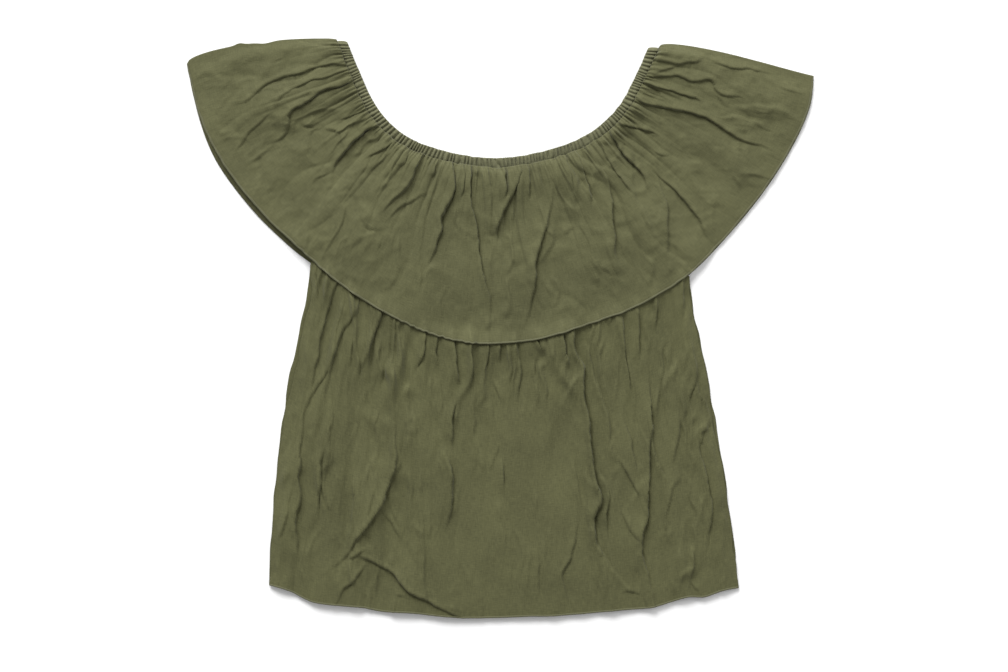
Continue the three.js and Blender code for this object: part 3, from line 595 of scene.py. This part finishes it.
def cloth_shell(name, top):
    """Closed shell: the grid of outer points, the same grid moved in along its normals by CLOTH and
    kept above the surface, and a strip of quads round the edge."""
    rows, columns = top.shape[:2]
    normal = unit(np.cross(np.gradient(top, axis=0), np.gradient(top, axis=1)))
    normal *= np.where(normal[..., 2:] < 0, -1.0, 1.0)
    inner = top - CLOTH * normal
    inner[..., 2] = np.maximum(inner[..., 2], 0.0)
    count = rows * columns
    number = np.arange(count).reshape(rows, columns)
    rim = np.concatenate([number[0, :-1], number[:-1, -1], number[-1, :0:-1], number[:0:-1, 0]])
    after = np.roll(rim, -1)
    sides = np.stack([rim, after, after + count, rim + count], axis=1)
    quads = grid_quads(rows, columns)
    faces = np.concatenate([quads, quads[:, ::-1] + count, sides])
    points = np.concatenate([top.reshape(-1, 3), inner.reshape(-1, 3)])
    return new_mesh(name, points, faces, np.concatenate([cloth_uv(top).reshape(-1, 2)] * 2))


def cloth_uv(points):
    """UV in metres: distance along a mean row and down a mean column."""
    steps = [np.linalg.norm(np.diff(points, axis=k), axis=2).mean(axis=1 - k) for k in (1, 0)]
    return np.stack(np.meshgrid(running(steps[0]), running(steps[1])), axis=-1) * MM


def joined(plan, height):
    return np.concatenate([plan, height[..., None]], axis=-1)


def off_edge(u, share=0.03):
    """0 on the two side edges and 1 past them."""
    return smooth(0, share, u) * smooth(0, share, 1 - u)


def make_flounce_back():
    """Back flounce: flat on the surface, with shallow gathers and a reach past the front hem at the left."""
    u, v = np.meshgrid(np.linspace(0, 1, 420), np.linspace(0, 1, 44))
    peek = mix(1.0, 6.0, smooth(0.04, 0.12, u) * (1 - smooth(0.24, 0.3, u))) * off_edge(u)
    plan = flounce_plan(u, v, peek)
    folds = gathers(u, v, 22, 1.5, 0.9, 31, 0.4) + gathers(u, v, 60, 0.8, 0.2, 30)
    across, down = u * BACK_RUN, v * FLOUNCE_DROP
    folds = folds + 0.9 * crumple(across, down, 26, 180, 32) + 0.25 * crinkle(u * WIDE_RUN, down, 8, 33)
    outer_face, highest_fold = 1.0, 1.6
    pressed = mix(0.75, 0.4, smooth(0.7, 1, v))
    height = outer_face + np.clip(folds, 0, highest_fold) * pressed * off_edge(u)
    points = joined(plan, height)
    laid.lay(points)
    return cloth_shell("flounce_back_cloth", points)


def make_body_back():
    """Bodice back: over the back flounce down to its hem, then flat on the surface."""
    rows = np.concatenate([np.linspace(0, 0.95, 12), np.linspace(0.97, 2, 50)])
    u, v = np.meshgrid(np.linspace(0, 1, 300), rows)
    across, down = u * BODY_RUN, v * BODY_DROP
    waver = [1.3 * crumple(0 * u, down, 10, 21, seed) * (v > 1.05) for seed in (43, 44)]
    plan = body_plan(u, v, *waver)
    lifted = (LAYER + BACK_FOLD * smooth(0, 0.12, v)) * (1 - smooth(1.0, 1.05, v))
    waves = np.clip(crumple(across, down, 24, 260, 41), 0, 1) + 0.25 * crinkle(across, down, 8, 42)
    height = WALL + lifted + BACK_FOLD * np.clip(waves, 0, 1) * smooth(1.02, 1.2, v) * off_edge(u)
    points = joined(plan, height)
    laid.lay(points)
    return cloth_shell("body_back_cloth", points)


def make_body_front():
    """Bodice front: pressed under the flounce, then free folds down to the hem, where the rows are
    closest, as folds run across them. Returns the shell and its outer points."""
    spans = [(0, 0.92, 12), (0.94, 1.74, 82), (1.75, 2, 44)]
    u, v = np.meshgrid(np.linspace(0, 1, 350), np.concatenate([np.linspace(*span) for span in spans]))
    across, down = u * BODY_RUN, v * BODY_DROP
    roll_left = 5.0 * smooth(1.02, 1.1, v) * (1 - smooth(1.35, 1.5, v)) + 0.8
    roll_right = 3.0 * smooth(1.36, 1.42, v) * (1 - smooth(1.5, 1.6, v)) + 0.8
    waver = [1.4 * np.clip(crumple(0 * u, down, 10, 17, seed), -0.4, 1) for seed in (48, 49)]
    plan = body_plan(u, v, (roll_left + waver[0]) * (v > 1), (roll_right + waver[1]) * (v > 1))
    x, y = plan[..., 0], plan[..., 1]
    free = smooth(0.9, 1.02, v)
    edge = off_edge(u, 0.022)
    base = 2 * LAYER + BACK_FOLD * smooth(0, 0.12, v)
    base = mix(base, LAYER + BACK_FOLD * edge, smooth(0.95, 1.05, v))
    creases, shift = fold_field(x, y, BODY_FOLDS)
    swells, _ = fold_field(x, y, BODY_SWELLS, crisp=False)
    # The small folds are calmest low in the middle, and liveliest at the left and under the flounce
    middle = np.exp(-((x - 15) / 95) ** 2) * smooth(-60, -190, y)
    lively = 1.3 + 0.4 * smooth(-60, -140, x) - 0.65 * middle
    broad = 2.0 * crumple(across, down, 17, 110, 51)
    stray = 2.2 * stray_folds(x, y, 24, 120, 55) + 1.8 * stray_folds(x, y, 15, 70, 58)
    stray = stray * (1 + 0.5 * np.exp(-((y + 35) / 45) ** 2))
    fine = 0.6 * crinkle(u * BODY_FINE_RUN, down, 7.5, 52) + 0.6 * rumple(x, 0.28 * y, 54) + stray
    folds = creases + swells + broad * lively + fine * lively
    pressed = HIDDEN_FOLD * smooth(0.05, 0.3, v) * (0.5 + 0.5 * crumple(across, down, 16, 300, 53))
    deepest = -1.6
    hem = mix(1.0, 0.7, smooth(1.85, 2.0, v))
    folds = mix(pressed, 1.0 + np.maximum(folds, deepest), free) * mix(0.25, 1.0, edge) * hem
    plan = plan + shift * (free * edge)[..., None]
    points = joined(plan, laid.lift(WALL + base + folds, plan))
    laid.lay(points)
    return cloth_shell("body_front_cloth", points), points


def make_flounce_front():
    """Front flounce: lies on the bodice in the middle and on the back flounce at the wings. Its hem is
    frayed left of the middle. Returns the shell and its outer points."""
    u, v = np.meshgrid(np.linspace(0, 1, 640), np.linspace(0, 1, 74) ** 1.08)
    down = v * FLOUNCE_DROP
    hem_x, hem_run = at_share(flounce_hem_line, u)[..., 0], u * HEM_RUN
    rough = smooth(-128, -112, hem_x) * (1 - smooth(-20, -4, hem_x))
    waved = 0.5 * crumple(hem_run, 0 * u, 11, 10, 60) + 1.1 * rough * crumple(hem_run, 0 * u, 4.5, 10, 61)
    plan = flounce_plan(u, v, waved, tuck=1.5 + 0.8 * crumple(u * SEAM_RUN, 0 * u, 8, 10, 59))
    x, y = plan[..., 0], plan[..., 1]
    edge = off_edge(u, 0.02)
    ramp = smooth(0, 0.12, v)
    above_body = smooth(0.22, 0.262, u) * smooth(0.22, 0.262, 1 - u)
    wing_sinks, stack_sinks, seam_rise = 1.5, 3.4, 0.9
    wing = LAYER + BACK_FOLD * ramp * edge - wing_sinks * smooth(0.3, 0.9, v)
    stack = 3 * LAYER + (BACK_FOLD + HIDDEN_FOLD) * ramp - stack_sinks * smooth(0.6, 1.0, v)
    base = mix(wing, stack, np.maximum(above_body, 1 - ramp)) + seam_rise * (1 - smooth(0, 0.08, v))
    creases, shift = fold_field(x, y, FLOUNCE_FOLDS)
    creases = creases * mix(1.0, 0.82, smooth(140, 200, -x)) * mix(1.0, 0.72, smooth(140, 200, x))
    swells, _ = fold_field(x, y, FLOUNCE_SWELLS, crisp=False)
    across = np.abs(neck_direction(u)[..., 0])
    puffs = sum(mix(at_tips, at_front, across) * gathers(u, v, count, rise, reach, seed, wander)
                for count, rise, reach, wander, seed, at_tips, at_front in FLOUNCE_PUFFS)
    broad = 1.2 * crumple(u * MID_RUN, down, 19, 70, 62)
    lively = 0.5 + 0.3 * smooth(70, 190, -x) + 0.3 * smooth(70, 190, x)
    pressed = mix(1.0, mix(0.45, 0.8, above_body), smooth(0.86, 1.0, v))
    stray = 2.0 * stray_folds(u * WIDE_RUN, down, 34, 80, 56) + 1.6 * stray_folds(x, y, 30, 44, 57)
    fine = lively * rumple(x, y, 64) + stray
    folds = 0.2 + (creases + swells + puffs + (broad + fine) * smooth(0, 0.15, v)) * pressed
    tall, above_tall = 8, 3
    folds = np.minimum(folds, tall + above_tall * np.tanh((folds - tall) / above_tall))
    folds = np.maximum(folds, 0.0) * mix(0.3, 1.0, edge) * mix(0.7, 1.0, smooth(0, 0.03, v))
    lifted = 3.6 * smooth(0.82, 1, v) * smooth(0.03, 0.08, u) * (1 - smooth(0.24, 0.28, u))
    plan = plan + shift * (smooth(0, 0.05, v) * edge * mix(1.0, 0.4, smooth(0.9, 1.0, v)))[..., None]
    seam_dip = 1.2 * np.exp(-(v / 0.035) ** 2)
    height = laid.lift(WALL + base + lifted + folds, plan) - seam_dip
    height = height + neck_ribs(u, CASING_WIDTH + 200 * v) * np.exp(-(v / mix(0.08, 0.045, across)) ** 2)
    points = joined(plan, height)
    return cloth_shell("flounce_front_cloth", points), points


def neck_ribs(share, out):
    """Ribs that the elastic gathers up, as a height of 0 or less: depth * (|sin(pi n)|^0.8 - 1), where
    n counts the ribs along the neck, with an uneven phase, slant and depth. Their pitch and depth pass
    from RIB_PITCH and RIB_DEPTH at the shoulders, where the neck runs down, to those at the front."""
    run = share * (len(neck_line) - 1.0)
    level = np.abs(neck_direction(share)[..., 0])
    level_line = np.abs(neck_direction(np.linspace(0, 1, len(neck_line)))[..., 0])
    ribs_line = np.cumsum(1 / mix(*RIB_PITCH, level_line))
    ribs = np.interp(run, np.arange(len(neck_line)), ribs_line)
    wander = 0.9 * crumple(run, run * 0, 23, 10, 71) + 0.45 * crumple(run, run * 0, 9, 10, 72)
    slant = 0.18 * crumple(run, run * 0, 40, 10, 73)
    phase = 2 * math.pi * (ribs + wander + slant * (out - 6) / 4.5)
    depth = (1.3 + 0.5 * crumple(run + 0 * out, out + 0 * run, 6, 5, 74)) * mix(*RIB_DEPTH, level)
    return depth * (np.abs(np.sin(0.5 * phase)) ** 0.8 - 1.0)


def make_casing():
    """Casing ring: a rounded band section carried along the neck, over at each tip and back beneath.

    The cloth is a tube, its inner side the outer one moved in along its normals by CLOTH. The section
    is a flattened superellipse with ribs in its outer face."""
    length = len(neck_line) - 1.0
    front_rings, tip_rings, round_ = 900, 7, 18
    front = np.linspace(0, 1, front_rings)
    tip = np.linspace(0, math.pi, tip_rings + 2)[1:-1]
    share = np.concatenate([front, np.full(tip_rings, 1.0), front[::-2], np.full(tip_rings, 0.0)])[:, None]
    turn = np.concatenate([np.zeros(front_rings), tip, np.full(front_rings // 2, math.pi), tip[::-1]])
    turn = turn[:, None]
    end = np.where(share < 0.5, -1.0, 1.0)
    around = np.linspace(0, 2 * math.pi, round_, endpoint=False)[None, :]
    wide, high = np.cos(around), np.sin(around)
    middle = 0.5 * CASING_WIDTH
    out = middle * (1 + np.sign(wide) * np.abs(wide) ** 0.72)
    lift = 0.5 * CASING_THICKNESS * (1 + np.sign(high) * np.abs(high) ** 0.7)
    run = share * length
    rib = neck_ribs(share, out)
    faces_out = smooth(1.2, 3.2, lift)
    pinch = 0.35 * crumple(run, out * 0, 7, 10, 75)
    height = lift + rib * faces_out
    outwards = np.where(out > middle, 1.0, -1.0)
    out = out + (0.2 * rib + pinch) * outwards * smooth(4, 6, np.abs(out - middle))
    along = neck_direction(share)
    radius = CASING_HALF_GAP + height
    plan = at_share(neck_line, share) + out[..., None] * away(neck_line, share)
    shear = CASING_SHEAR * tip_share(share) * out / CASING_WIDTH
    plan = plan + (end * radius * np.sin(turn) + shear)[..., None] * along
    z = CASING_THICKNESS + CASING_HALF_GAP + radius * np.cos(turn)
    points = joined(plan, np.maximum(z, 0.0))
    faces = grid_quads(len(points), round_, closed_rows=True, closed_columns=True)
    down, across = (np.roll(points, -1, k) - np.roll(points, 1, k) for k in (0, 1))
    inner = points + CLOTH * unit(np.cross(across, down))
    faces = np.concatenate([faces, faces[:, ::-1] + len(points) * round_])
    points = np.concatenate([points.reshape(-1, 3), inner.reshape(-1, 3)])
    uv = np.stack([run + 0 * out, out + 0 * run], axis=-1).reshape(-1, 2) * MM
    return new_mesh("neck_casing_band", points, faces, np.concatenate([uv, uv]))


def hem_band(name, panel, width, thick, seed):
    """Narrow turned hem: a flat, uneven oval section, width by thick, carried along the last row of a
    panel's points and closed by a polygon at each end."""
    edge = panel[-1]
    inward = unit(panel[-4] - panel[-1])
    around = np.linspace(0, 2 * math.pi, 10, endpoint=False)
    run = running(np.linalg.norm(np.diff(edge, axis=0), axis=1))
    wobble = 1 + 0.22 * crumple(run, run * 0, 7, 10, seed)
    across = 0.5 * width * (np.cos(around)[None, :] + 0.75)
    up = 0.5 * thick * (np.sin(around)[None, :] * wobble[:, None])
    points = edge[:, None, :] + across[..., None] * inward[:, None, :]
    above_surface = 0.05
    points[..., 2] = np.maximum(points[..., 2] + up, above_surface)
    rings, round_ = points.shape[:2]
    faces = grid_quads(rings, round_, closed_columns=True)[:, [0, 3, 2, 1]]
    tail = (rings - 1) * round_
    caps = [list(range(round_))[::-1], list(range(tail, tail + round_))]
    uv = np.stack([np.repeat(run, round_), np.tile(across[0], rings)], axis=1) * MM
    return new_mesh(name, points, faces, uv, caps)


# Materials


def linear(hex_colour):
    """Linear colour from an sRGB hex value."""
    value = [int(hex_colour[k:k + 2], 16) / 255 for k in (1, 3, 5)]
    return [c / 12.92 if c <= 0.04045 else ((c + 0.055) / 1.055) ** 2.4 for c in value] + [1.0]


def add_node(tree, kind, settings=(), links=()):
    """Adds a node: settings pair a name or socket with a value, links an input with an output."""
    node = tree.nodes.new(kind)
    for name, value in settings:
        if isinstance(name, str) and hasattr(node, name):
            setattr(node, name, value)
        else:
            node.inputs[name].default_value = value
    for name, socket in links:
        tree.links.new(socket, node.inputs[name])
    return node


def new_material(name, settings):
    """Material with these shader settings, and its node tree and its shader."""
    material = bpy.data.materials.new(name)
    material.use_nodes = True
    tree = material.node_tree
    shader = tree.nodes["Principled BSDF"]
    for socket, value in settings:
        shader.inputs[socket].default_value = value
    return material, tree, shader


def woven_viscose(name, light, dark, crease_stretch=8.0):
    """Plain-woven viscose, garment-dyed and soft from washing: matt, with a faint sheen on the folds,
    uneven threads both ways, and crinkles and broken ridges too small to model, drawn out lengthwise
    by crease_stretch. Threads are 0.35 mm apart on the real cloth and are drawn 1.1 mm apart so that
    they show as a grain."""
    thread, crinkle_width, ridge_width, ridge_length = 1.1 * MM, 4.2 * MM, 16 * MM, 3 * MM
    material, tree, shader = new_material(name, [("Roughness", 0.82), ("Specular IOR Level", 0.25),
                                                 ("Sheen Weight", 0.14), ("Sheen Roughness", 0.45)])
    uv = add_node(tree, "ShaderNodeUVMap", [("uv_map", "cloth")]).outputs["UV"]

    def threads(across, along, detail, kind="FBM"):
        """Noise drawn out along one thread direction: across and along are sizes in metres."""
        drawn = add_node(tree, "ShaderNodeMapping", [("Scale", (1 / across, 1 / along, 1.0))],
                         [("Vector", uv)])
        return add_node(tree, "ShaderNodeTexNoise",
                        [("noise_type", kind), ("Scale", 1.0), ("Detail", detail)],
                        [("Vector", drawn.outputs["Vector"])]).outputs["Fac"]

    warp, weft = threads(thread, 8 * thread, 2.0), threads(7 * thread, thread, 2.0)
    patches = threads(50 * MM, 60 * MM, 2.0)
    weave = add_node(tree, "ShaderNodeMix", [(0, 0.5)], [(2, warp), (3, weft)]).outputs[0]
    tone = add_node(tree, "ShaderNodeMix", [(0, 0.3)], [(2, weave), (3, patches)]).outputs[0]
    ramp = add_node(tree, "ShaderNodeValToRGB", [], [("Fac", tone)])
    for element, place, colour in zip(ramp.color_ramp.elements, (0.36, 0.64), (dark, light)):
        element.position = place
        element.color = linear(colour)
    tree.links.new(ramp.outputs["Color"], shader.inputs["Base Color"])
    crinkles = threads(crinkle_width, crinkle_width * crease_stretch, 4.0)
    ridges = threads(ridge_width, ridge_width + ridge_length * crease_stretch, 3.0, "RIDGED_MULTIFRACTAL")
    # Each relief lies on the one before: how strong it is, and how deep in mm
    below = []
    for relief, strength, depth in ((weave, 0.9, 0.5), (crinkles, 0.4, 0.6), (ridges, 0.5, 0.7)):
        bump = add_node(tree, "ShaderNodeBump", [("Strength", strength), ("Distance", depth * MM)],
                        [("Height", relief)] + below)
        below = [("Normal", bump.outputs["Normal"])]
    tree.links.new(bump.outputs["Normal"], shader.inputs["Normal"])
    return material


def overlocked_edge(name, light, dark):
    """Rolled edge closed with overlock stitches: thread ridges 1.2 mm apart across the edge. Its colour is a
    painted highlight, a little lighter than the cloth, with painted shade in the grooves between the ridges."""
    stitch_pitch, one_band_scale = 0.0012, 0.314
    material, tree, shader = new_material(name, [("Roughness", 0.78), ("Specular IOR Level", 0.3),
                                                 ("Sheen Weight", 0.12)])
    uv = add_node(tree, "ShaderNodeUVMap", [("uv_map", "cloth")]).outputs["UV"]
    stitch = add_node(tree, "ShaderNodeTexWave", [("wave_type", "BANDS"), ("bands_direction", "X"),
                                                  ("Scale", one_band_scale / stitch_pitch),
                                                  ("Distortion", 1.5)], [("Vector", uv)])
    # Painted highlight and shade: the colour follows the stitch ridges, light on them and dark in the
    # grooves between
    ramp = add_node(tree, "ShaderNodeValToRGB", [], [("Fac", stitch.outputs["Fac"])])
    for element, colour in zip(ramp.color_ramp.elements, (dark, light)):
        element.color = linear(colour)
    tree.links.new(ramp.outputs["Color"], shader.inputs["Base Color"])
    bump = add_node(tree, "ShaderNodeBump", [("Strength", 0.6), ("Distance", 0.3 * MM)],
                    [("Height", stitch.outputs["Fac"])])
    tree.links.new(bump.outputs["Normal"], shader.inputs["Normal"])
    return material


# Camera, light and floor


def make_studio():
    """Camera straight above, a large soft light from the top left, a weak fill and a white floor."""
    scene = bpy.context.scene
    width_shown, camera_height, sensor = 1.2096, 3.0, 36.0
    centre_x, centre_y = 0.0048, -0.0096
    camera_data = bpy.data.cameras.new("camera")
    camera_data.sensor_width = sensor
    camera_data.lens = sensor * camera_height / width_shown
    camera_data.clip_end = 20.0
    scene.camera = new_object("camera", camera_data, (centre_x, centre_y + CENTRE_Y * MM, camera_height))

    def soft_light(name, place, size, power):
        data = bpy.data.lights.new(name, "AREA")
        data.shape = "DISK"
        data.size = size
        data.energy = power
        lamp = new_object(name, data, place)
        lamp.rotation_euler = (-Vector(place)).to_track_quat("-Z", "Y").to_euler()

    soft_light("key_light", place=(-2.0, 6.7, 4.5), size=5.6, power=1070)
    soft_light("fill_light", place=(3.2, 2.4, 3.0), size=3.0, power=60)
    world = bpy.data.worlds.new("studio")
    world.use_nodes = True
    for socket, value in (("Color", (1, 1, 1, 1)), ("Strength", 0.5)):
        world.node_tree.nodes["Background"].inputs[socket].default_value = value
    scene.world = world
    scene.view_settings.view_transform = "Standard"

    # Matt white paper just under the cloth: an even ground that takes soft shadows
    floor_mesh = bpy.data.meshes.new("floor")
    half, just_under = 6.0, -0.0002
    floor_mesh.from_pydata([(-half, -half, 0), (half, -half, 0), (half, half, 0), (-half, half, 0)], [],
                           [(0, 1, 2, 3)])
    settings = [("Base Color", linear("#f6f6f6")), ("Roughness", 0.9)]
    floor_mesh.materials.append(new_material("white_paper_sweep", settings)[0])
    floor = new_object("floor", floor_mesh, (0, 0, just_under))


make_studio()

flounce_viscose = woven_viscose("woven_viscose_flounce", "#59593b", "#48482e")
# Painted shade: the bodice is the same cloth as the flounce, given a slightly darker copy of its colours
# because it takes a little less light
body_viscose_shaded = woven_viscose("woven_viscose_bodice", "#585839", "#45452b")
# Painted light: the casing is the same cloth, given lighter colours for the light its raised band catches.
# Its uneven-thread tone has a wider spread that stands in for the shade between its ribs.
casing_viscose_lit = woven_viscose("gathered_viscose_casing_lit", "#6b6b50", "#505037", crease_stretch=0.4)
# Painted highlight: the rolled edges get a colour a little lighter than the cloth, and painted shade between
# their stitches
edge_thread_highlight = overlocked_edge("overlocked_viscose_edge", "#5c5c42", "#505038")

flounce_back = make_flounce_back()
body_back = make_body_back()
body_front, body_points = make_body_front()
flounce_front, flounce_points = make_flounce_front()
casing = make_casing()

flounce_hem = hem_band("flounce_front_edge", flounce_points, width=2.5, thick=1.3, seed=81)
body_hem = hem_band("body_front_edge", body_points, width=2.2, thick=1.2, seed=82)

for piece, material in ((flounce_back, flounce_viscose), (body_back, body_viscose_shaded),
                        (body_front, body_viscose_shaded), (flounce_front, flounce_viscose),
                        (casing, casing_viscose_lit), (flounce_hem, edge_thread_highlight), (body_hem, edge_thread_highlight)):
    piece.data.materials.append(material)
    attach(piece, "root")

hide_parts("flounce_back")
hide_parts("body_back")
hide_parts("body_front")
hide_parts("flounce_front")
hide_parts("neck_casing")
